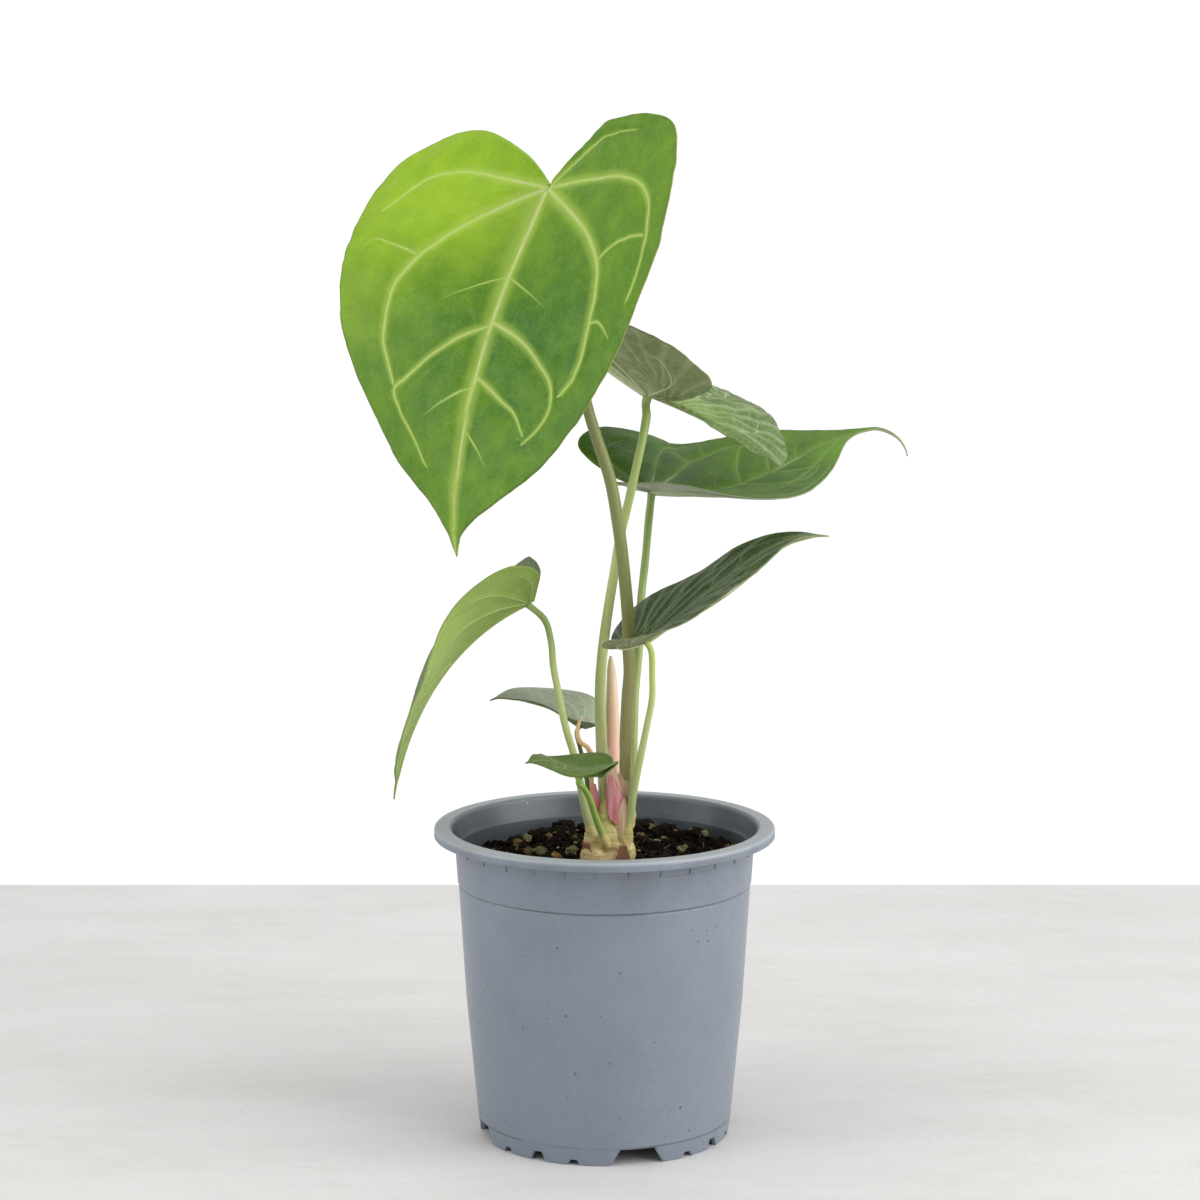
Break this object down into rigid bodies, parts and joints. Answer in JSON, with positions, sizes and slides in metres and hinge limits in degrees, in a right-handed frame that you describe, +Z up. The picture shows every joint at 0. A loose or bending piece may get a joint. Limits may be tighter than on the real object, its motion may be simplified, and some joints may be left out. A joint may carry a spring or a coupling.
{
  "type": "potted anthurium house plant",
  "caption": "Heart-leaved house plant: leaves on thin stalks from a short crown, standing in soil in a round tapered nursery pot.",
  "frame": {"origin": "on the surface that the pot stands on, under the middle of the whole plant's box; the pot's own axis is 11.2 mm to -X and 13.1 mm to +Y of it", "axes": "+Z up along the pot's axis, +X to the right and +Y away as the picture is seen"},
  "size_m": [0.2002, 0.2044, 0.359],
  "materials": {
    "pot_plastic": "moulded blue-grey polypropylene, slightly soiled, satin",
    "soil": "dark damp peat with bark and perlite, matt",
    "crown": "pale beige-green short stem with leaf scars, satin",
    "petiole_olive": "olive leaf stalk, browner at the foot, satin",
    "petiole_pale": "pale green leaf stalk, satin",
    "petiole_green": "green leaf stalk, satin",
    "petiole_young": "bright green young leaf stalk, satin",
    "leaf_bright": "bright green blade with pale yellow-green veins, satin",
    "leaf_grey": "grey-green blade seen mostly from below, matt",
    "leaf_dark": "dark green velvety blade with silvery sheen and pale veins",
    "leaf_green": "mid green blade with a lighter underside, satin",
    "leaf_young": "young blade, dark green below, satin",
    "shoot": "rolled new leaf in a pinkish beige sheath, satin",
    "cataphyll": "pink to red-brown thin sheath, satin",
    "dry_bract": "dry orange-tan curled remains, matt",
    "dry_scale": "dry brown papery scale, matt"
  },
  "bodies": {
    "root": {"pot": "pot_plastic", "soil": "soil", "crown": "crown", "petiole_1": "petiole_olive", "petiole_2": "petiole_pale", "petiole_3": "petiole_green", "petiole_4": "petiole_green", "petiole_5": "petiole_green", "petiole_6": "petiole_green", "petiole_7": "petiole_young", "leaf_1": "leaf_bright", "leaf_2": "leaf_grey", "leaf_3": "leaf_dark", "leaf_4": "leaf_dark", "leaf_5": "leaf_green", "leaf_6": "leaf_grey", "leaf_7": "leaf_young", "new_shoot": "shoot", "dried_bract": "dry_bract", "sheath": "cataphyll", "scale_left": "dry_scale", "scale_right": "dry_scale"}
  },
  "joints": []
}
